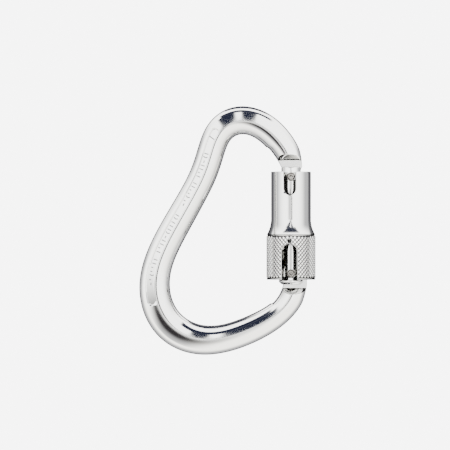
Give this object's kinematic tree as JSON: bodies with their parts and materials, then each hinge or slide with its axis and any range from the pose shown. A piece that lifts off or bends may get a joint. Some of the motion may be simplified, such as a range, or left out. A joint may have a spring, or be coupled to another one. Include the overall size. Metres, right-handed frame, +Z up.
{
  "type": "locking carabiner",
  "caption": "Large pear-shaped locking carabiner: bent bar body, hinged spring gate with a cross-pin latch, and a knurled quarter-turn locking sleeve.",
  "frame": {"origin": "crown of the upper basket, on the inner edge of the bar, in the middle of its thickness", "axes": "+Z up along the closed gate, +X from the spine to the gate, Y through the thickness, with the front at -Y"},
  "size_m": [0.0828, 0.023, 0.1167],
  "materials": {
    "polished_aluminium": "polished, clear anodised",
    "turned_aluminium": "turned, clear anodised",
    "sleeve_aluminium": "turned above, diamond knurl below",
    "rivet_steel": "stainless, satin",
    "spring_steel": "drawn wire",
    "washer_steel": "ground",
    "plunger_brass": "turned",
    "bush_plastic": "moulded acetal"
  },
  "bodies": {
    "root": {"body": "polished_aluminium"},
    "gate": {"gate_barrel": "turned_aluminium", "hinge_rivet": "rivet_steel", "latch_rivet": "rivet_steel", "closing_spring": "spring_steel", "sleeve_spring": "spring_steel", "lower_bush": "bush_plastic", "upper_bush": "bush_plastic", "thrust_washer": "washer_steel", "retaining_ring": "spring_steel", "bush_dowel": "rivet_steel"},
    "sleeve": {"lock_sleeve": "sleeve_aluminium"},
    "plunger": {"closing_plunger": "plunger_brass"}
  },
  "joints": [
    {"name": "gate_swing", "type": "hinge", "parent": "root", "child": "gate", "pos_m": [0.0226, 0, -0.0655], "axis": [0, -1, 0], "range_deg": [0, 28], "stiffness_Nm_per_rad": 0.5, "springref_deg": -34.38},
    {"name": "sleeve_twist", "type": "hinge", "parent": "gate", "child": "sleeve", "pos_m": [0.0226, 0, -0.0655], "axis": [0, 0, -1], "range_deg": [0, 86], "deforming": ["sleeve_spring"]},
    {"name": "plunger_slide", "type": "slide", "parent": "gate", "child": "plunger", "axis": [0, 0, 1], "range_m": [0, 0.00098], "deforming": ["closing_spring"]}
  ],
  "couplings": [
    {"joint": "sleeve_twist", "follows": "gate_swing", "ratio": 3.0714},
    {"joint": "plunger_slide", "follows": "gate_swing", "m_per_rad": 0.002}
  ]
}
